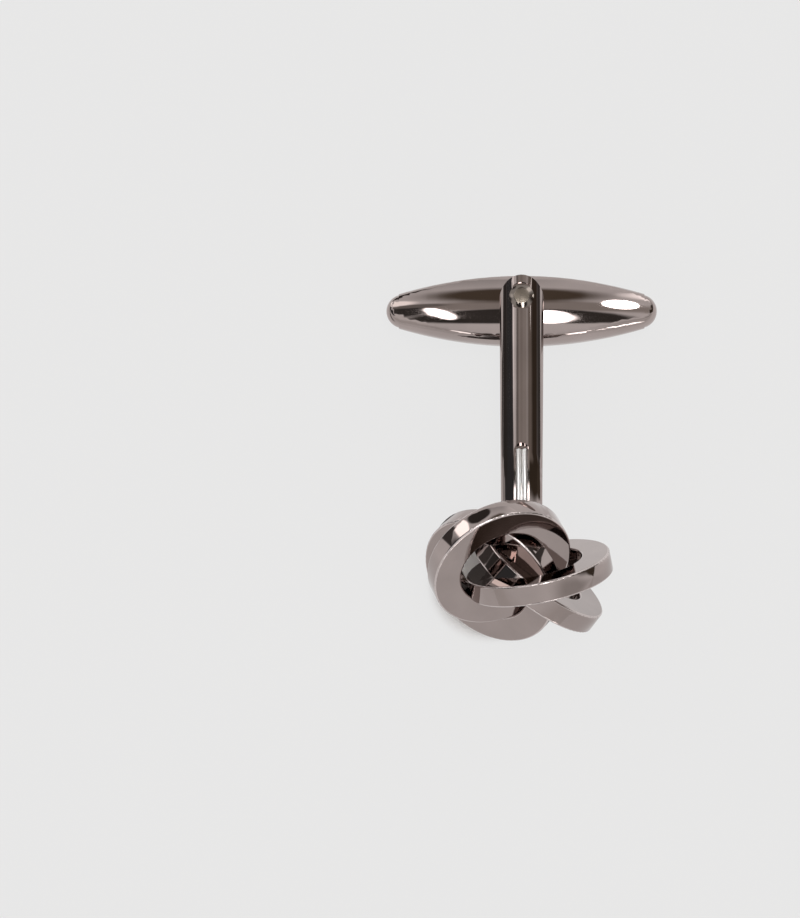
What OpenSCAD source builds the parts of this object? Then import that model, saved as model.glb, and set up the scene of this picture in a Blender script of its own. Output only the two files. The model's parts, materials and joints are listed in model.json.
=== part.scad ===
// Cufflink with a knot of four rings and a swivelling toggle, in millimetres.
// It lies on its knot and on the end of its post. The toggle runs along X, the
// post along Y with the knot in front, and Z is up.

/* [Knot] */
// Outer radius of each ring
ring_r = 5.4; // [5.4:0.1:8]
// Width of the flat bar that the rings are made of
bar_w = 2.1; // [1.6:0.05:2.2]
// Thickness of the bar
bar_t = 1.6; // [1:0.05:1.6]
// Rounding of the bar's edges
bar_edge = 0.16; // [0.05:0.01:0.3]

/* [Post] */
// Distance from the middle of the knot to the toggle's pivot
pivot_reach = 20.3; // [18:0.1:24]
// Width of each arm at the pivot
arm_w = 3.3; // [3.2:0.05:3.6]
// Width of the foot at the hub
foot_w = 3.05; // [2.8:0.05:3.15]
// Thickness of the post over both arms
post_t = 7.3; // [7:0.05:7.6]
// Radius of the rounded outer face of each arm
crest_r = 1.96; // [1.9:0.01:2.4]
// Length of the gap between the arms, below the pivot
gap_reach = 10.8; // [10.6:0.1:11.4]
// Rounding of the corners at the bottom of the gap
gap_corner = 0.8; // [0.4:0.1:1.2]
// Distance from the middle of the knot to where the foot starts to narrow
foot_shoulder = 8; // [7.6:0.1:8.6]
// Radius of the curve that narrows the foot's front
foot_front_curve = 12; // [10:0.5:14]
// Radius of the curve that narrows the foot's back, clear of the knot
foot_back_curve = 4.95; // [4.9:0.01:5.2]

/* [Beads on the foot] */
// Width of the groove that the two beads lie in
groove_w = 1.15; // [1.05:0.05:1.3]
// Depth of the groove
groove_d = 0.35; // [0.25:0.05:0.5]
// Distance from the middle of the knot to the groove's round end
groove_end = 8.75; // [8.7:0.05:9]
// Width of each bead
bead_w = 0.42; // [0.36:0.02:0.46]

/* [Hub] */
// Radius of the hub's back, which bears on the cuff
hub_r = 2.3; // [2.2:0.05:2.4]
// Radius of the hub's flared front
hub_flare_r = 2.95; // [2.8:0.05:3]
// Distance from the middle of the knot to the hub's back
hub_back = 4; // [3.9:0.05:4.1]
// Distance from the middle of the knot to the hub's front
hub_front = 2.6; // [2.5:0.05:2.7]
// Depth of the slot that the foot stands in
hub_slot = 0.3; // [0.2:0.05:0.35]
// Radius of the post's tenon
tenon_r = 0.85; // [0.7:0.05:0.9]
// Radius of the tenon's peened head
peen_r = 1.15; // [1.05:0.05:1.2]
// Height of the tenon's peened head
peen_h = 0.45; // [0.3:0.05:0.5]

/* [Toggle] */
// Length of the toggle over its tips
toggle_l = 20.3; // [19.5:0.1:20.4]
// Diameter of the toggle's barrel at its middle
barrel_d = 5.34; // [5.1:0.02:5.5]
// Diameter of the barrel where the tips start
barrel_end_d = 2.62; // [2.4:0.02:2.8]
// Thickness of the toggle along the pin at its middle
toggle_t = 3.94; // [3.8:0.02:4]
// Thickness of the toggle where the tips start
toggle_end_t = 2.18; // [2.1:0.02:2.3]
// Radius of the rounding across each broad face
face_round = 4; // [3.6:0.1:5]
// Length of the domed tip at each end
tip_l = 0.95; // [0.8:0.05:1]
// Step from the shells down to the tips
tip_step = 0.08; // [0.04:0.01:0.12]
// Wall of the two shells
wall = 0.55; // [0.5:0.01:0.6]

/* [Pivot] */
// Radius of the pivot pin
pin_r = 0.65; // [0.6:0.01:0.68]
// Width across the flats of the pin's square middle
pin_square = 1.08; // [1:0.02:1.16]
// Length of the pin's square middle
pin_square_l = 2.4; // [2:0.1:2.6]
// Radius of the pin's riveted heads
head_r = 0.92; // [0.8:0.02:0.96]
// Height of the pin's riveted heads
head_h = 0.2; // [0.15:0.01:0.25]
// Radius of the flat that each head lies on
spot_r = 1.05; // [1:0.01:1.1]
// Depth of that flat below the arm's crest
spot_d = 0.12; // [0.1:0.01:0.16]

/* [Detent spring] */
// Length of the leaf spring
spring_l = 12; // [10:0.5:12]
// Width of the leaf spring
spring_w = 1; // [0.8:0.05:1]
// Thickness of the leaf spring
spring_t = 0.25; // [0.2:0.01:0.26]

/* [Fits] */
// Play around the pin in the toggle
running_fit = 0.05; // [0.03:0.01:0.06]
// Play of the pin in the arms and of the tenon in the hub, closed by riveting
rivet_fit = 0.01; // [0.01:0.01:0.03]
// Space between the toggle and each arm
side_play = 0.15; // [0.12:0.01:0.2]
// Solder film between the rings, and between them and the hub
solder_film = 0.02; // [0.01:0.01:0.03]
// Space between the foot and each side of its slot
slot_play = 0.05; // [0.03:0.01:0.08]

/* [Hidden] */
$fn = 96;
// Steps round a full circle on the toggle's long, flat curves
long_fn = 8 * $fn;

// Colours of the plated metal, the duller metal inside and the spring steel
gunmetal = [0.42, 0.39, 0.38];
dark_metal = [0.3, 0.28, 0.27];
spring_steel = [0.55, 0.56, 0.58];

// Where each ring sits: turned about the knot's axis, moved out and up, then tilted and leaned
ring_turn = [25, 128, 214, 308];
ring_tilt = [35, 34, 43, 49];
ring_lean = [-3, 7, 7, 1];
ring_out_share = [0.315, 0.444, 0.426, 0.426];
ring_up_share = [0.083, -0.019, 0, 0.019];
rings = [0:3];
// How far the knot sits off the post's line
knot_shift = -0.037 * ring_r;

arm_gap = toggle_t + 2 * side_play;
crest_centre = post_t / 2 - crest_r;
gap_bottom = pivot_reach - gap_reach;
foot_end = hub_back - hub_slot;
// Curves of the foot's front and back, and the height of their centres
foot_curve = [foot_front_curve, foot_back_curve];
foot_centre = [for (r = foot_curve) post_t / 2 - r];
bead_depth = groove_d - bead_w / 8;
bead_pitch = 1.1 * bead_w;
bead_top = groove_end - 0.45 * groove_w;
pin_half_l = post_t / 2 - spot_d;
shell_half_l = toggle_l / 2 - tip_l;
cavity_half_l = shell_half_l - 2 * wall;
plug_r = 0.9 * wall;

// How far a curve of radius r falls away at distance x from its crown
function fall(r, x) = r - sqrt(r * r - x * x);
// Radius of the sphere or arc that has half chord a and height h
function arc_r(a, h) = (a * a + h * h) / (2 * h);

barrel_curve = arc_r(shell_half_l, (barrel_d - barrel_end_d) / 2);
face_curve = arc_r(shell_half_l, (toggle_t - toggle_end_t) / 2);
tip_r = arc_r(barrel_end_d / 2 - tip_step, tip_l);
// Radius of the hollow where the spring ends, and how far the leaf bows up to reach it
spring_end_r = barrel_d / 2 - wall - fall(barrel_curve - wall, spring_l / 2);
spring_low = pin_r + 1.6 * running_fit;
spring_rise = sqrt(spring_end_r * spring_end_r - spring_w * spring_w / 4)
    - spring_t - spring_low - running_fit;
spring_curve = arc_r(spring_l / 2, spring_rise);

// How the cufflink lies: the post tips down until the knot and the arm both touch the ground

// Direction of ring k's axis, and where its centre is, in the upright cufflink
function upright(v) = [v.x, -v.z, v.y];
function turned(v, a) = [v.x * cos(a) - v.y * sin(a), v.x * sin(a) + v.y * cos(a), v.z];
function ring_axis(k) = upright(turned(
    [sin(ring_lean[k]), -sin(ring_tilt[k]) * cos(ring_lean[k]), cos(ring_tilt[k]) * cos(ring_lean[k])],
    ring_turn[k]));
function ring_centre(k) = [knot_shift, 0, 0] + ring_r * upright(turned(
    [ring_out_share[k], 0, ring_up_share[k]], ring_turn[k]));
// How far the knot reaches in direction d
function ring_reach(k, d) = let (along = abs(ring_axis(k) * d))
    ring_centre(k) * d + (ring_r - bar_edge) * sqrt(1 - along * along)
    + (bar_t / 2 - bar_edge) * along + bar_edge;
function knot_reach(d) = max([for (k = rings) ring_reach(k, d)]);
// How far the end of the arm's crest reaches down when the post is tipped by a
function down(a) = [0, sin(a), -cos(a)];
function arm_reach(a) = (pivot_reach + arm_w / 2) * sin(a) + post_t / 2 * cos(a);
function level(a, steps) = steps == 0 ? a
    : level(a + asin((knot_reach(down(a)) - arm_reach(a)) / pivot_reach), steps - 1);

lie_angle = level(0, 8);
lie_height = max(knot_reach(down(lie_angle)), arm_reach(lie_angle));
toggle_far = pivot_reach * cos(lie_angle) + barrel_d / 2;
knot_near = knot_reach([0, -cos(lie_angle), -sin(lie_angle)]);
lie_forward = (knot_near - toggle_far) / 2;

// Lays the upright cufflink on the ground, in the middle of its own footprint
module lay_down() {
    translate([0, lie_forward, lie_height]) rotate([-lie_angle, 0, 0]) children();
}

// Shapes used more than once

// A cap of a sphere on the plane Z = 0, with base radius a and height h
module cap(a, h) {
    intersection() {
        translate([0, 0, h - arc_r(a, h)]) sphere(arc_r(a, h));
        cylinder(r = a, h = h);
    }
}

// The knot

// One ring about Z, its bar grown by g on every side
module ring(g = 0) {
    w = bar_w + 2 * g;
    t = bar_t + 2 * g;
    edge = bar_edge + g;
    translate([0, 0, -t / 2]) rotate_extrude() translate([ring_r - bar_w - g, 0]) {
        translate([edge, 0]) square([w - 2 * edge, t]);
        translate([0, edge]) square([w, t - 2 * edge]);
        for (x = [edge, w - edge], y = [edge, t - edge]) translate([x, y]) circle(edge);
    }
}

// Ring k in its place in the knot, whose axis runs along the post
module placed_ring(k, g = 0) {
    translate([knot_shift, 0, 0]) rotate([90, 0, 0]) rotate([0, 0, ring_turn[k]])
        translate([ring_out_share[k] * ring_r, 0, ring_up_share[k] * ring_r])
            rotate([ring_tilt[k], 0, 0]) rotate([0, ring_lean[k], 0]) ring(g);
}

// Each ring has shallow notches where the one before it lies against it
module knot_ring(k) {
    color(gunmetal) lay_down() difference() {
        placed_ring(k);
        placed_ring((k + 3) % len(ring_turn), solder_film);
    }
}

// The hub holds the four rings in pockets, and the post's foot in a slot across its back
module knot_hub() {
    slope = hub_flare_r - hub_r;
    neck = foot_end - slope;
    slot_w = foot_w + 2 * slot_play;
    color(dark_metal) lay_down() difference() {
        rotate([-90, 0, 0]) rotate_extrude() polygon([
            [0, hub_front],
            [hub_flare_r, hub_front],
            [hub_flare_r, neck],
            [hub_r, foot_end],
            [hub_r, hub_back],
            [0, hub_back]
        ]);
        for (k = rings) placed_ring(k, solder_film);
        rotate([-90, 0, 0]) cylinder(r = tenon_r + rivet_fit, h = 2 * hub_back);
        translate([-slot_w / 2, foot_end, -hub_flare_r]) cube([slot_w, hub_slot * 2, 2 * hub_flare_r]);
    }
}

// The post

// Section across both arms, with the two crests at the top and the bottom
module arm_section() {
    intersection() {
        square([arm_w, post_t], center = true);
        union() {
            square([arm_w, 2 * crest_centre], center = true);
            for (s = [-1, 1]) translate([0, s * crest_centre]) circle(crest_r);
        }
    }
}

// Solid behind face i of the foot, 0 for the front and 1 for the back, both drawn facing +Z:
// the arms' rounded crest is swept along the face's curve
module foot_face(i) {
    curve = foot_curve[i];
    translate([0, foot_shoulder, foot_centre[i]]) rotate([0, 90, 0]) rotate_extrude() intersection() {
        translate([0, -arm_w / 2]) square([curve, arm_w]);
        union() {
            translate([0, -arm_w / 2]) square([curve - crest_r, arm_w]);
            translate([curve - crest_r, 0]) circle(crest_r);
        }
    }
}

module foot() {
    intersection() {
        foot_face(0);
        mirror([0, 0, 1]) foot_face(1);
        translate([-arm_w, foot_end, -post_t]) cube([2 * arm_w, foot_shoulder - foot_end, 2 * post_t]);
    }
}

// Outline of the post seen along the pin
module post_outline() {
    translate([0, pivot_reach]) circle(arm_w / 2);
    polygon([
        [-foot_w / 2, foot_end],
        [foot_w / 2, foot_end],
        [arm_w / 2, pivot_reach],
        [-arm_w / 2, pivot_reach]
    ]);
}

// Outline of the gap between the arms, seen along the toggle and open at its top
module gap_outline() {
    low = gap_bottom + gap_corner;
    flat = arm_gap - 2 * gap_corner;
    translate([-arm_gap / 2, low]) square([arm_gap, pivot_reach]);
    translate([-flat / 2, gap_bottom]) square([flat, pivot_reach]);
    for (s = [-1, 1]) translate([s * flat / 2, low]) circle(gap_corner);
}

// Solid under a copy of face i that lies d deeper
module under_face(i, d) {
    translate([0, foot_shoulder, foot_centre[i]]) rotate([0, 90, 0])
        cylinder(r = foot_curve[i] - d, h = arm_w, center = true);
    translate([-arm_w / 2, foot_shoulder, 0]) cube([arm_w, arm_w, post_t / 2 - d]);
}

// Groove down face i of the foot, with a round end at its top
module bead_groove(i) {
    difference() {
        linear_extrude(post_t) {
            translate([-groove_w / 2, 0]) square([groove_w, groove_end - groove_w / 2]);
            translate([0, groove_end - groove_w / 2]) circle(groove_w / 2);
        }
        under_face(i, groove_d);
    }
}

// Round bead on the floor of face i's groove, at distance x from its middle line
module bead(i, x) {
    r = bead_w / 2;
    translate([x, foot_shoulder, post_t / 2 - bead_depth]) {
        rotate([-90, 0, 0]) cylinder(r = r, h = bead_top - foot_shoulder);
        translate([0, bead_top - foot_shoulder, 0]) sphere(r);
    }
    intersection() {
        translate([x, foot_shoulder, foot_centre[i]]) rotate([0, 90, 0])
            rotate_extrude() translate([foot_curve[i] - bead_depth, 0]) circle(r);
        translate([x - r, foot_end, 0]) cube([2 * r, foot_shoulder - foot_end, post_t]);
    }
}

// Tenon through the hub, with its peened head in the middle of the knot
module tenon() {
    rotate([90, 0, 0]) {
        translate([0, 0, -hub_back]) cylinder(r = tenon_r, h = hub_back - hub_front);
        translate([0, 0, -hub_front]) cap(peen_r, peen_h);
    }
}

module post_frame() {
    color(gunmetal) lay_down() {
        difference() {
            intersection() {
                union() {
                    translate([0, foot_shoulder, 0]) rotate([-90, 0, 0])
                        linear_extrude(pivot_reach) arm_section();
                    foot();
                }
                linear_extrude(2 * post_t, center = true) post_outline();
            }
            rotate([0, 90, 0]) linear_extrude(2 * arm_w, center = true) gap_outline();
            translate([0, pivot_reach, 0]) cylinder(r = pin_r + rivet_fit, h = 2 * post_t, center = true);
            for (i = [0, 1]) mirror([0, 0, i]) {
                translate([0, pivot_reach, pin_half_l]) cylinder(r = spot_r, h = post_t);
                bead_groove(i);
            }
        }
        for (i = [0, 1], x = [-1, 1]) mirror([0, 0, i]) bead(i, x * bead_pitch / 2);
        tenon();
    }
}

// The pin is square in the middle, where the spring bears on it, and riveted at both ends
module pivot_pin() {
    color(gunmetal) lay_down() translate([0, pivot_reach, 0]) {
        intersection() {
            cylinder(r = pin_r, h = pin_square_l, center = true);
            cube([pin_square, pin_square, pin_square_l], center = true);
        }
        for (s = [0, 1]) mirror([0, 0, s]) {
            translate([0, 0, pin_square_l / 2]) cylinder(r = pin_r, h = pin_half_l - pin_square_l / 2);
            translate([0, 0, pin_half_l]) cap(head_r, head_h);
        }
    }
}

// The toggle, about its own middle

// Solid behind the toggle's front face, which curves along its length and across it, inset by d
module behind_face(d) {
    centre = face_curve - face_round;
    translate([0, 0, toggle_t / 2 - face_curve]) rotate([90, 0, 0]) rotate_extrude($fn = long_fn) {
        translate([0, -barrel_d / 2]) square([centre, barrel_d]);
        intersection() {
            translate([centre, 0]) circle(face_round - d);
            translate([centre, -barrel_d / 2]) square([face_round, barrel_d]);
        }
    }
}

// The whole toggle's form out to half_l from the middle, inset by d
module toggle_form(half_l, d = 0) {
    intersection() {
        rotate([0, 90, 0]) rotate_extrude() intersection() {
            translate([barrel_d / 2 - barrel_curve, 0]) circle(barrel_curve - d, $fn = long_fn);
            translate([0, -half_l]) square([barrel_d, 2 * half_l]);
        }
        behind_face(d);
        mirror([0, 0, 1]) behind_face(d);
    }
}

// Half of the hollow barrel, on the side s of the split: 1 for the front and -1 for the back
module toggle_shell(s) {
    color(gunmetal) lay_down() translate([0, pivot_reach, 0]) difference() {
        toggle_form(shell_half_l);
        toggle_form(cavity_half_l, wall);
        rotate([0, 90, 0]) cylinder(r = plug_r + rivet_fit, h = toggle_l, center = true);
        cylinder(r = pin_r + running_fit, h = barrel_d, center = true);
        translate([-toggle_l, -barrel_d, s > 0 ? -barrel_d : 0]) cube([2 * toggle_l, 2 * barrel_d, barrel_d]);
    }
}

// Domed tip with a plug that holds the two shells together, on the side s: -1 left and 1 right
module toggle_tip(s) {
    color(gunmetal) lay_down() translate([0, pivot_reach, 0]) rotate([0, s > 0 ? 0 : 180, 0]) {
        intersection() {
            toggle_form(toggle_l / 2, tip_step);
            translate([toggle_l / 2 - tip_r, 0, 0]) sphere(tip_r);
            translate([shell_half_l, -barrel_d / 2, -barrel_d / 2]) cube([tip_l, barrel_d, barrel_d]);
        }
        translate([cavity_half_l, 0, 0]) rotate([0, 90, 0])
            cylinder(r = plug_r, h = shell_half_l + tip_l / 2 - cavity_half_l);
    }
}

// Bowed leaf over the pin, whose ends press on the shells' upper wall
module toggle_spring() {
    color(spring_steel) lay_down() translate([0, pivot_reach, 0])
        linear_extrude(spring_w, center = true) intersection() {
            translate([0, spring_low + spring_curve]) difference() {
                circle(spring_curve);
                circle(spring_curve - spring_t);
            }
            translate([-spring_l / 2, 0]) square([spring_l, barrel_d / 2]);
        }
}

knot_ring(0);  // knot_ring_1
knot_ring(1);  // knot_ring_2
knot_ring(2);  // knot_ring_3
knot_ring(3);  // knot_ring_4
knot_hub();
post_frame();
pivot_pin();
toggle_shell(1);  // toggle_shell_front
toggle_shell(-1);  // toggle_shell_back
toggle_tip(-1);  // toggle_tip_left
toggle_tip(1);  // toggle_tip_right
toggle_spring();
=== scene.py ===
import json
import math

import bpy
from mathutils import Matrix, Vector

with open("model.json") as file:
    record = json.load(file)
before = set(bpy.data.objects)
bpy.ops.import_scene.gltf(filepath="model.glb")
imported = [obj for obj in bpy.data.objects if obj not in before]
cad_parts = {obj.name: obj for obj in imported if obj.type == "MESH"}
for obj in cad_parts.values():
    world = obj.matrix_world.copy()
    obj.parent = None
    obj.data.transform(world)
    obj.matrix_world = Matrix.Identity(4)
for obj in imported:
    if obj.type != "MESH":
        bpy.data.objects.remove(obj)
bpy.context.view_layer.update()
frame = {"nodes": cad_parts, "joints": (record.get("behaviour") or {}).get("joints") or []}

MM = 0.001

# The photograph's view, in its own pixels
PHOTO_W, PHOTO_H = 800, 918
KNOT_PX = (518.97, 570.05)
FOCAL_PX = 8084
SENSOR = 36.0
CAMERA_DISTANCE = 600 * MM
CLIP_NEAR, CLIP_FAR = 0.01, 100
HEAD_TO_CAMERA = math.radians(72.8)

# The cufflink's own lines: the post runs from the knot's middle to the toggle's pivot
PIVOT_REACH = 20.3 * MM
KNOT_SHIFT = -0.2 * MM
RIGHT = Vector((1, 0, 0))
swivel = frame["joints"][0]
pivot = Vector(swivel["pos_m"])
pin_axis = Vector(swivel["axis"]).normalized()
LIE = math.atan2(pin_axis.y, pin_axis.z)
post_axis = Vector((0, math.cos(LIE), -math.sin(LIE)))
post_middle = pivot - post_axis * PIVOT_REACH
knot = post_middle + RIGHT * KNOT_SHIFT

elevation = HEAD_TO_CAMERA + LIE
to_camera = Vector((0, -math.cos(elevation), math.sin(elevation)))
up_in_view = Vector((0, math.sin(elevation), math.cos(elevation)))

# Colours and roughness
BACKGROUND = (0.799, 0.799, 0.799)
GUNMETAL = (0.362, 0.304, 0.289)
GUNMETAL_ROUGHNESS = 0.05
# A lighter colour painted on the rings' rounded edges as a highlight
EDGE_HIGHLIGHT_COLOUR = (0.6, 0.53, 0.515)
EDGE_ROUGHNESS = 0.22
# The hub's darker colour is painted shade inside the knot
HUB_PAINTED_SHADE = (0.2, 0.165, 0.155)
HUB_ROUGHNESS = 0.12
SPRING_STEEL = (0.55, 0.56, 0.58)
SPRING_STEEL_ROUGHNESS = 0.2
RIVET_RIM = (0.2, 0.17, 0.15)
RIVET_RIM_ROUGHNESS = 0.08
RIVET_MIDDLE = (0.235, 0.2, 0.165)
RIVET_MIDDLE_ROUGHNESS = 0.42
# The beads' near-white colour is a painted highlight on the gunmetal
BEAD_HIGHLIGHT_COLOUR = (0.99, 0.98, 0.97)
BEAD_ROUGHNESS = 0.36

# The polished metal's detail. Noise scales are per metre, and TONES says by how much the
# colour is multiplied at two values of the noise.
TONE_SCALE, TONE_DETAIL = 350, 3
TONES = ((0.3, 0.94), (0.7, 1.05))
ROUGHNESS_RANGE = 0.03
WAVE_SCALE, WAVE_DETAIL = 420, 1
WAVE_STRENGTH = 0.25
WAVE_HEIGHT = 0.02 * MM

# A painted highlight on a ring's rounded edges, by how far the surface faces along the ring's
# axis, and the worn satin middle of the rivet, by the distance from its middle
WALL_TO_EDGE = (0.15, 0.35)
FLAT_TO_EDGE = (0.985, 0.93)
RIVET_WORN = 0.56 * MM
RIVET_WORN_EDGES = (1.15, 0.9)

# The post's foot, in millimetres from the middle of the knot, as in the part's own source
POST_T = 7.3
FOOT_SHOULDER = 8.0
FOOT_CURVES = (12.0, 4.95)
BEAD_DEPTH = 0.2975
BEAD_W = 0.42
BEAD_PITCH = 0.462
BEAD_TOP = 8.35
BEAD_MARGIN = 0.012

# The nodes' faces: corners this close are joined, and edges under this angle shade smooth
SMOOTH_ANGLE = math.radians(50)
JOIN_DISTANCE = 0.0001 * MM

# The small lamp: where its patch falls on the toggle (right of, above and nearer the camera
# than the knot), and the way it lies from there (degrees right and up)
STRIP_SPOT = (7.9 * MM, 19.74 * MM, -3.4 * MM)
STRIP_WAY = (17.2, 43.0)
STRIP_REACH = 12 * MM
STRIP_W = 4.3 * MM
STRIP_H = 5.2 * MM
STRIP_RADIANCE = 1.2
STRIP_SPREAD = math.radians(50)

# The floor: its paper in real shade, and how bright it looks to the camera and in the metal
FLOOR_HALF = 3.0
FLOOR_PAPER = (0.8, 0.77, 0.75)
FLOOR_GLOW = 0.93
FLOOR_COLOUR = (0.81, 0.81, 0.81)
# A brighter patch of floor behind the knot, seen only in the metal: painted light
FLOOR_BEHIND = (0.93, 0.93, 0.93)
FLOOR_BEHIND_FROM, FLOOR_BEHIND_TO = 0, 6 * MM
# The colour of the painted shade and the dark wedge that only the metal mirrors
PAINTED_DARK_REFLECTION = (0.035, 0.03, 0.028)
# The round of real shade under the knot
UNDER_KNOT = 3.2 * MM
UNDER_KNOT_FADE = 1.5 * MM
UNDER_KNOT_LEFT = 2.4 * MM
# Painted shade on the floor that only the metal mirrors, under the knot and beside the post's
# foot, and a painted dark wedge for the metal to mirror, which runs out to the left
UNDER_KNOT_PAINTED_SHADE = 5.6 * MM
BESIDE_POST = (-4.0 * MM, 6.4 * MM)
BESIDE_POST_PAINTED_SHADE = 3.2 * MM
ROUND_EDGE = 0.8
DARK_WEDGE = math.radians(28)
DARK_WEDGE_HALF = math.radians(7.5)
WEDGE_EDGES = (1.1, 0.9)
DARK_WEDGE_FROM = 19 * MM
WEDGE_START = 1.2

# The room that the metal mirrors: degrees above the camera, then brightness and warmth
BANDS = (
    (-170, 0.72, 0.0),
    (-120, 0.66, 0.0),
    (-60, 0.70, 0.02),
    (-45, 0.85, 0.0),
    (-14, 0.95, 0.0),
    (76, 0.85, 0.0),
    (95, 0.66, 0.0),
    (125, 0.68, 0.0),
    (170, 0.70, 0.0),
)
# Panels in it: degrees right of and above the camera, half width and height, lean, softness,
# brightness and warmth. A later panel covers an earlier one.
PANELS = (
    (3, 31, 27, 11, 0, 0.3, 0.44, 0.06),
    (-1, 55, 14, 17, 0, 0.3, 0.10, 0.25),
    (0, 7, 21, 16, 0, 0.12, 0.06, 0.08),
    (57, 33, 27, 34, 0, 0.27, 0.05, 0.28),
    (-58, 20, 22, 42, 0, 0.12, 0.06, -0.05),
    (80, 50, 12, 45, 0, 0.2, 0.07, 0.25),
    (50, -27, 27, 17, 0, 0.6, 0.52, 0.02),
    (-84, 50, 7, 80, 0, 0.3, 0.5, 0.0),
    (-69, 65, 9, 36, 0, 0.3, 0.05, 0.05),
    (-22, 45, 4, 6, 0, 0.3, 2.0, 0.02),
    (-21, 25, 4.5, 12, 0, 0.25, 0.06, 0.05),
    (-18, 36, 5, 4, 0, 0.3, 0.25, 0.06),
    (-50, 82, 8, 29, 0, 0.15, 3.0, 0.02),
    (-27, 86, 14, 19, 0, 0.12, 0.05, 0.1),
    (62, 93, 16, 31, 0, 0.2, 0.08, 0.05),
    (15, 103, 11, 27, 0, 0.5, 1.0, 0.0),
    (23, 64, 7, 10, 0, 0.4, 2.4, 0.0),
    (-35, 41, 3.6, 9, 0, 0.4, 1.5, 0.0),
    (-3, -53, 8, 8, 0, 0.3, 0.1, 0.1),
    (22, -76, 5, 6, 0, 0.3, 7.0, 0.0),
    (37, 40, 11, 6, 0, 0.5, 0.24, 0.12),
    (12, -70, 3, 9, 0, 0.3, 5.0, 0.0),
    (-12, -66, 3, 9, 0, 0.3, 3.0, 0.0),
    (-14.6, 16, 1.85, 13, -0.15, 0.2, 10.0, 0.0),
    (4.6, 5.5, 4.6, 13, 0, 0.2, 12.0, 0.0),
)


class Nodes:
    """Short helpers to build a node tree. A number is set on a socket, anything else linked."""

    def __init__(self, tree, keep=False):
        self.tree = tree
        if not keep:
            tree.nodes.clear()

    def add(self, kind, **values):
        node = self.tree.nodes.new(kind)
        for key, value in values.items():
            setattr(node, key, value)
        return node

    def link(self, a, b):
        self.tree.links.new(a, b)

    def math(self, operation, a, b=None):
        node = self.add("ShaderNodeMath", operation=operation)
        for socket, value in zip(node.inputs, (a, b)):
            if value is None:
                continue
            if isinstance(value, (int, float)):
                socket.default_value = value
            else:
                self.link(value, socket)
        return node.outputs[0]

    def vector(self, operation, a, b=None, out="Vector"):
        """A vector sum of a socket and a fixed vector."""
        node = self.add("ShaderNodeVectorMath", operation=operation)
        self.link(a, node.inputs[0])
        if b is not None:
            node.inputs[1].default_value = b
        return node.outputs[out]

    def measure(self, operation, a, b=None):
        """A vector sum that gives a number, such as a length."""
        return self.vector(operation, a, b, "Value")

    def ramp(self, factor, stops):
        node = self.add("ShaderNodeValToRGB")
        ramp = node.color_ramp.elements
        while len(ramp) > 1:
            ramp.remove(ramp[-1])
        for i, (place, colour) in enumerate(stops):
            stop = ramp[0] if i == 0 else ramp.new(place)
            stop.position = place
            stop.color = (*colour, 1)
        self.link(factor, node.inputs[0])
        return node.outputs[0]

    def fade(self, value, low, high):
        """A smooth step from 0 at low to 1 at high, which may lie either way."""
        step = self.add("ShaderNodeMapRange", interpolation_type="SMOOTHSTEP")
        self.link(value, step.inputs["Value"])
        step.inputs["From Min"].default_value = low
        step.inputs["From Max"].default_value = high
        return step.outputs[0]

    def mix(self, share, first, second):
        """A colour socket, faded by share to a fixed colour or to another colour socket."""
        node = self.add("ShaderNodeMix", data_type="RGBA")
        self.link(share, node.inputs["Factor"])
        for socket, value in ((node.inputs[6], first), (node.inputs[7], second)):
            if isinstance(value, tuple):
                socket.default_value = (*value, 1)
            else:
                self.link(value, socket)
        return node.outputs[2]

    def mix_shaders(self, share, first, second):
        node = self.add("ShaderNodeMixShader")
        for socket, value in zip(node.inputs, (share, first, second)):
            self.link(value, socket)
        return node.outputs[0]


def new_material(name):
    material = bpy.data.materials.new(name)
    material.use_nodes = True
    return material, Nodes(material.node_tree)


def add_to_scene(name, data):
    thing = bpy.data.objects.new(name, data)
    bpy.context.scene.collection.objects.link(thing)
    return thing


def facing(place, aim):
    """A matrix at place whose -Z looks at aim, with the photograph's upright upwards."""
    back = (place - aim).normalized()
    right = up_in_view.cross(back).normalized()
    up = back.cross(right)
    return Matrix.Translation(place) @ Matrix((right, up, back)).transposed().to_4x4()


def make_camera():
    """A long lens over the knot, aimed so that the knot falls where it does in the photograph."""
    data = bpy.data.cameras.new("camera")
    data.sensor_width = SENSOR
    data.lens = FOCAL_PX * SENSOR / PHOTO_H
    data.clip_start = CLIP_NEAR
    data.clip_end = CLIP_FAR
    camera = add_to_scene("camera", data)
    per_pixel = CAMERA_DISTANCE / FOCAL_PX
    aim = knot - RIGHT * (KNOT_PX[0] - PHOTO_W / 2) * per_pixel
    aim += up_in_view * (KNOT_PX[1] - PHOTO_H / 2) * per_pixel
    camera.matrix_world = facing(knot + to_camera * CAMERA_DISTANCE, aim)
    bpy.context.scene.camera = camera


def grey(value, warmth):
    """A grey that leans to red where warmth is above 0, and to blue below it."""
    return (value * (1 + warmth), value, value * (1 - warmth))


def panel_mask(n, place, height, panel):
    """1 on a soft oval panel and 0 off it. A panel that leans shifts sideways with height."""
    right, up, wide, tall, lean, soft = panel
    if lean:
        tilt = n.add("ShaderNodeCombineXYZ")
        n.link(n.math("MULTIPLY", n.math("SUBTRACT", height, up), -lean), tilt.inputs[0])
        shift = n.add("ShaderNodeVectorMath", operation="ADD")
        n.link(place, shift.inputs[0])
        n.link(tilt.outputs[0], shift.inputs[1])
        place = shift.outputs[0]
    scaled = n.vector("MULTIPLY_ADD", place, (1 / wide, 1 / tall, 0))
    scaled.node.inputs[2].default_value = (-right / wide, -up / tall, 0)
    return n.fade(n.measure("LENGTH", scaled), 1 + soft, max(1 - soft, 0))


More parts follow.
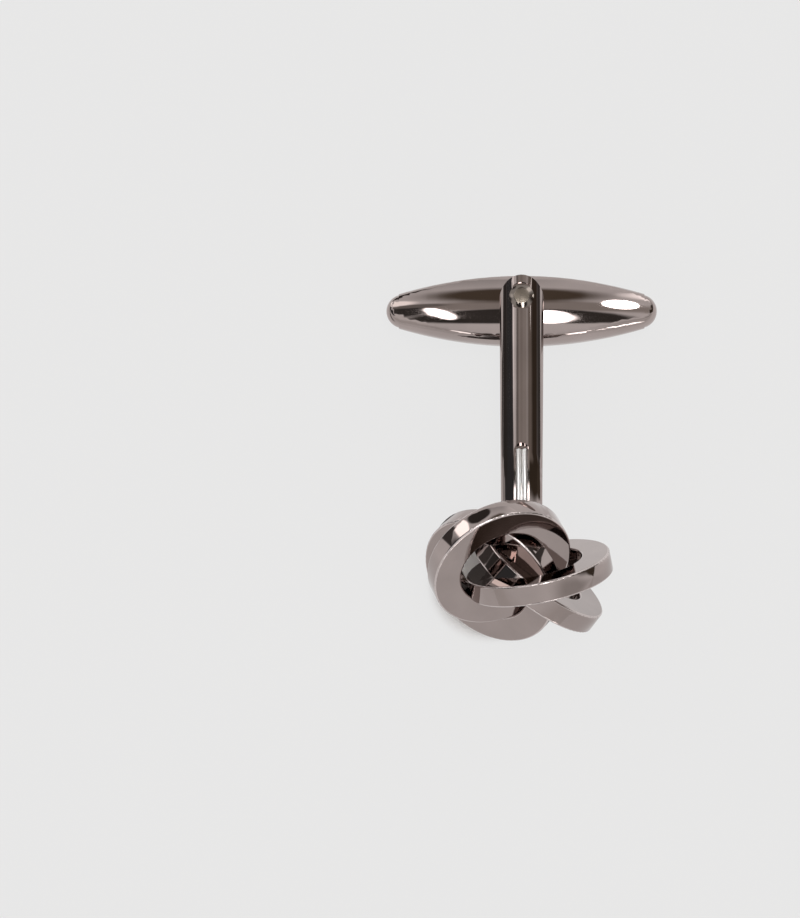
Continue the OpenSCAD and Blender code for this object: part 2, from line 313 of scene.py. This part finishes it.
def make_world():
    """The room in the metal's reflections, and the pale background for the camera itself."""
    world = bpy.data.worlds.new("studio")
    bpy.context.scene.world = world
    world.use_nodes = True
    n = Nodes(world.node_tree)
    way = n.add("ShaderNodeTexCoord").outputs["Generated"]
    right, up, towards = (n.measure("DOT_PRODUCT", way, v) for v in (RIGHT, up_in_view, to_camera))
    height = n.math("MULTIPLY", n.math("ARCTAN2", up, towards), math.degrees(1))
    side = n.math("MULTIPLY", n.math("ARCSINE", right), math.degrees(1))
    share = n.math("ADD", n.math("DIVIDE", height, 360), 0.5)
    colour = n.ramp(share, [(0.5 + at / 360, grey(*tone)) for at, *tone in BANDS])
    place = n.add("ShaderNodeCombineXYZ")
    n.link(side, place.inputs[0])
    n.link(height, place.inputs[1])
    for *panel, value, warmth in PANELS:
        mask = panel_mask(n, place.outputs[0], height, panel)
        colour = n.mix(mask, colour, grey(value, warmth))
    room = n.add("ShaderNodeBackground")
    n.link(colour, room.inputs[0])
    pale = n.add("ShaderNodeBackground")
    pale.inputs[0].default_value = (*BACKGROUND, 1)
    to_eye = n.add("ShaderNodeLightPath").outputs["Is Camera Ray"]
    shader = n.mix_shaders(to_eye, room.outputs[0], pale.outputs[0])
    n.link(shader, n.add("ShaderNodeOutputWorld").inputs[0])


def make_strip_lamp():
    """A small oval lamp close over the toggle's right half, for the pointed white patch there."""
    data = bpy.data.lights.new("strip", "AREA")
    data.shape = "ELLIPSE"
    data.size, data.size_y = STRIP_W, STRIP_H
    data.spread = STRIP_SPREAD
    data.energy = STRIP_RADIANCE * math.pi * (math.pi / 4 * STRIP_W * STRIP_H)
    lamp = add_to_scene("strip", data)
    spot = knot + RIGHT * STRIP_SPOT[0] + up_in_view * STRIP_SPOT[1] + to_camera * STRIP_SPOT[2]
    side, height = (math.radians(v) for v in STRIP_WAY)
    way = RIGHT * math.sin(side)
    way += (up_in_view * math.sin(height) + to_camera * math.cos(height)) * math.cos(side)
    lamp.matrix_world = facing(spot + way * STRIP_REACH, spot)
    lamp.visible_camera = False
    lamp.visible_diffuse = False


def painted_dark_reflection(n, from_knot, turn):
    """1 where shade is painted on the floor for the metal to mirror: two rounds by the knot and a
    dark wedge to the left.
    """
    reach = n.measure("LENGTH", from_knot)
    off_line = n.math("ABSOLUTE", n.math("SUBTRACT", turn, DARK_WEDGE))
    wide, narrow = (DARK_WEDGE_HALF * share for share in WEDGE_EDGES)
    start = n.fade(reach, DARK_WEDGE_FROM, DARK_WEDGE_FROM * WEDGE_START)
    wedge = n.math("MULTIPLY", n.fade(off_line, wide, narrow), start)
    under = n.fade(reach, UNDER_KNOT_PAINTED_SHADE, UNDER_KNOT_PAINTED_SHADE * ROUND_EDGE)
    dark = n.math("MAXIMUM", wedge, under)
    beside = n.measure("DISTANCE", from_knot, (*BESIDE_POST, 0))
    beside = n.fade(beside, BESIDE_POST_PAINTED_SHADE, BESIDE_POST_PAINTED_SHADE * ROUND_EDGE)
    return n.math("MAXIMUM", dark, beside)


def make_floor():
    """A pale floor in the background's own colour, with real shade under the knot, and painted
    shade and light that only the metal mirrors.
    """
    half = FLOOR_HALF
    mesh = bpy.data.meshes.new("floor")
    corners = [(-half, -half, 0), (half, -half, 0), (half, half, 0), (-half, half, 0)]
    mesh.from_pydata(corners, [], [(0, 1, 2, 3)])
    floor = add_to_scene("floor", mesh)
    material, n = new_material("floor")
    place = n.add("ShaderNodeTexCoord").outputs["Object"]
    path = n.add("ShaderNodeLightPath")
    from_knot = n.vector("SUBTRACT", place, (knot.x, knot.y, 0))
    split = n.add("ShaderNodeSeparateXYZ")
    n.link(from_knot, split.inputs[0])
    turn = n.math("ARCTAN2", split.outputs["Y"], n.math("MULTIPLY", split.outputs["X"], -1))
    # Painted light: the floor behind the knot is brighter in the metal only
    behind = n.fade(split.outputs["Y"], FLOOR_BEHIND_FROM, FLOOR_BEHIND_TO)
    behind = n.math("MULTIPLY", behind, path.outputs["Is Glossy Ray"])
    # In the metal only: painted shade under the knot and beside the post, and a painted dark wedge
    dark = n.math("MULTIPLY", painted_dark_reflection(n, from_knot, turn), path.outputs["Is Glossy Ray"])
    glow = n.add("ShaderNodeEmission")
    n.link(n.mix(dark, n.mix(behind, FLOOR_COLOUR, FLOOR_BEHIND), PAINTED_DARK_REFLECTION), glow.inputs[0])
    paper = n.add("ShaderNodeBsdfDiffuse")
    paper.inputs[0].default_value = (*FLOOR_PAPER, 1)
    shade = n.measure("DISTANCE", place, (knot.x - UNDER_KNOT_LEFT, knot.y, 0))
    open_floor = n.fade(shade, UNDER_KNOT, UNDER_KNOT + UNDER_KNOT_FADE)
    seen = n.math("MULTIPLY", path.outputs["Is Camera Ray"], open_floor)
    seen = n.math("MAXIMUM", seen, path.outputs["Is Glossy Ray"])
    share = n.math("MULTIPLY", seen, FLOOR_GLOW)
    shader = n.mix_shaders(share, paper.outputs[0], glow.outputs[0])
    n.link(shader, n.add("ShaderNodeOutputMaterial").inputs[0])
    mesh.materials.append(material)


def smooth_shading(angle):
    """Node group that joins the faces' shared corners and shades them smooth up to an angle."""
    group = bpy.data.node_groups.new("smooth_shading", "GeometryNodeTree")
    group.is_modifier = True
    group.interface.new_socket("Geometry", in_out="INPUT", socket_type="NodeSocketGeometry")
    group.interface.new_socket("Geometry", in_out="OUTPUT", socket_type="NodeSocketGeometry")
    n = Nodes(group, keep=True)
    start = n.add("NodeGroupInput")
    drop = n.add("GeometryNodeRemoveAttribute")
    drop.inputs["Name"].default_value = "custom_normal"
    join = n.add("GeometryNodeMergeByDistance")
    join.inputs["Distance"].default_value = JOIN_DISTANCE
    faces = n.add("GeometryNodeSetShadeSmooth", domain="FACE")
    edges = n.add("GeometryNodeSetShadeSmooth", domain="EDGE")
    end = n.add("NodeGroupOutput")
    for before, after in ((start, drop), (drop, join), (join, faces), (faces, edges), (edges, end)):
        n.link(before.outputs[0], after.inputs["Geometry"])
    below = n.add("FunctionNodeCompare", data_type="FLOAT", operation="LESS_THAN")
    bend = n.add("GeometryNodeInputMeshEdgeAngle")
    n.link(bend.outputs["Unsigned Angle"], below.inputs[0])
    below.inputs[1].default_value = angle
    n.link(below.outputs[0], edges.inputs["Shade Smooth"])
    return group


def smooth(piece, group):
    shade = piece.modifiers.new("smooth_shading", "NODES")
    shade.node_group = group
    weigh = piece.modifiers.new("weighted_normals", "WEIGHTED_NORMAL")
    weigh.mode = "FACE_AREA_WITH_ANGLE"
    weigh.keep_sharp = True


def noise(n, place, scale, detail):
    node = n.add("ShaderNodeTexNoise")
    node.inputs["Scale"].default_value = scale
    node.inputs["Detail"].default_value = detail
    n.link(place, node.inputs["Vector"])
    return node.outputs["Fac"]


def polished(name, colour, roughness):
    """Polished plating with faint waves and a slight change of tone and roughness."""
    material, n = new_material(name)
    place = n.add("ShaderNodeTexCoord").outputs["Object"]
    shader = n.add("ShaderNodeBsdfPrincipled")
    shader.inputs["Metallic"].default_value = 1
    tone = noise(n, place, TONE_SCALE, TONE_DETAIL)
    tones = [(at, tuple(min(c * share, 1) for c in colour)) for at, share in TONES]
    n.link(n.ramp(tone, tones), shader.inputs["Base Color"])
    rough = n.math("MULTIPLY_ADD", tone, ROUGHNESS_RANGE)
    rough.node.inputs[2].default_value = roughness - ROUGHNESS_RANGE / 2
    n.link(rough, shader.inputs["Roughness"])
    bump = n.add("ShaderNodeBump")
    bump.inputs["Strength"].default_value = WAVE_STRENGTH
    bump.inputs["Distance"].default_value = WAVE_HEIGHT
    n.link(noise(n, place, WAVE_SCALE, WAVE_DETAIL), bump.inputs["Height"])
    n.link(bump.outputs[0], shader.inputs["Normal"])
    n.link(shader.outputs[0], n.add("ShaderNodeOutputMaterial").inputs[0])
    return material


def wear_and_highlight(material, make_mask, colour, roughness):
    """Fade a polished material to another colour and roughness where the mask is 1; used for the
    rivet's worn middle and for painted highlights.
    """
    n = Nodes(material.node_tree, keep=True)
    mask = make_mask(n, n.add("ShaderNodeTexCoord"))
    shader = next(node for node in n.tree.nodes if node.type == "BSDF_PRINCIPLED")
    base = shader.inputs["Base Color"]
    n.link(n.mix(mask, base.links[0].from_socket, colour), base)
    rough = shader.inputs["Roughness"]
    mix = n.add("ShaderNodeMix", data_type="FLOAT")
    n.link(mask, mix.inputs[0])
    n.link(rough.links[0].from_socket, mix.inputs[2])
    mix.inputs[3].default_value = roughness
    n.link(mix.outputs[0], rough)
    return material


def hypot(n, a, b):
    return n.math("SQRT", n.math("ADD", n.math("MULTIPLY", a, a), n.math("MULTIPLY", b, b)))


def on_beads(n, coords):
    """1 wherever the surface lies on one of the four beads of the post's foot."""
    x, y, z = (
        n.math("SUBTRACT", n.measure("DOT_PRODUCT", coords.outputs["Object"], axis / MM),
               post_middle.dot(axis) / MM)
        for axis in (RIGHT, post_axis, pin_axis)
    )
    across = n.math("SUBTRACT", n.math("ABSOLUTE", x), BEAD_PITCH / 2)
    below_top = n.math("LESS_THAN", y, BEAD_TOP)
    down = n.math("MINIMUM", n.math("SUBTRACT", y, FOOT_SHOULDER), 0)
    masks = []
    for side, curve in zip((1, -1), FOOT_CURVES):
        height = n.math("MULTIPLY", z, side)
        reach = hypot(n, down, n.math("SUBTRACT", height, POST_T / 2 - curve))
        near = hypot(n, across, n.math("SUBTRACT", reach, curve - BEAD_DEPTH))
        on_bead = n.math("LESS_THAN", near, BEAD_W / 2 + BEAD_MARGIN)
        on_side = n.math("GREATER_THAN", height, 0)
        masks.append(n.math("MULTIPLY", n.math("MULTIPLY", on_bead, on_side), below_top))
    return n.math("MAXIMUM", *masks)


def rivet_middle(n, coords):
    """1 on the middle of the rivet's head, which is worn satin."""
    from_pivot = n.vector("SUBTRACT", coords.outputs["Object"], pivot)
    radius = n.measure("LENGTH", n.vector("CROSS_PRODUCT", from_pivot, pin_axis))
    return n.fade(radius, *(RIVET_WORN * share for share in RIVET_WORN_EDGES))


def ring_edges(axis):
    """A mask that is 1 on a ring's rounded edges, between flats and walls, for a painted highlight.
    """
    def mask(n, coords):
        lean = n.math("ABSOLUTE", n.measure("DOT_PRODUCT", coords.outputs["Normal"], axis))
        return n.math("MULTIPLY", n.fade(lean, *WALL_TO_EDGE), n.fade(lean, *FLAT_TO_EDGE))
    return mask


def flat_axis(piece):
    """The way most of a ring's flat area faces, which is along the ring's own axis."""
    areas = {}
    for face in piece.data.polygons:
        way = face.normal if face.normal.z >= 0 else -face.normal
        key = tuple(round(v, 2) for v in way)
        areas[key] = areas.get(key, 0) + face.area
    return Vector(max(areas, key=areas.get)).normalized()


def finish_nodes():
    """Give each CAD node its material and smooth shading."""
    def gunmetal(name):
        return polished(name, GUNMETAL, GUNMETAL_ROUGHNESS)

    plain = gunmetal("gunmetal")
    looks = {
        # The hub inside the knot is darker: painted shade
        "knot_hub": polished("dark_metal", HUB_PAINTED_SHADE, HUB_ROUGHNESS),
        "toggle_spring": polished("spring_steel", SPRING_STEEL, SPRING_STEEL_ROUGHNESS),
        # The beads get a near-white colour: a painted highlight
        "post_frame": wear_and_highlight(gunmetal("post_gunmetal"), on_beads, BEAD_HIGHLIGHT_COLOUR, BEAD_ROUGHNESS),
        "pivot_pin": wear_and_highlight(polished("rivet_gunmetal", RIVET_RIM, RIVET_RIM_ROUGHNESS),
                          rivet_middle, RIVET_MIDDLE, RIVET_MIDDLE_ROUGHNESS),
    }
    shading = smooth_shading(SMOOTH_ANGLE)
    for name, node in frame["nodes"].items():
        if name.startswith("knot_ring"):
            # Each ring's rounded edges get a lighter colour: a painted highlight
            edges = ring_edges(flat_axis(node))
            looks[name] = wear_and_highlight(gunmetal(name + "_gunmetal"), edges, EDGE_HIGHLIGHT_COLOUR, EDGE_ROUGHNESS)
        smooth(node, shading)
        node.data.materials.clear()
        node.data.materials.append(looks.get(name, plain))


bpy.context.scene.view_settings.view_transform = "Standard"
make_camera()
make_world()
make_strip_lamp()
make_floor()
finish_nodes()
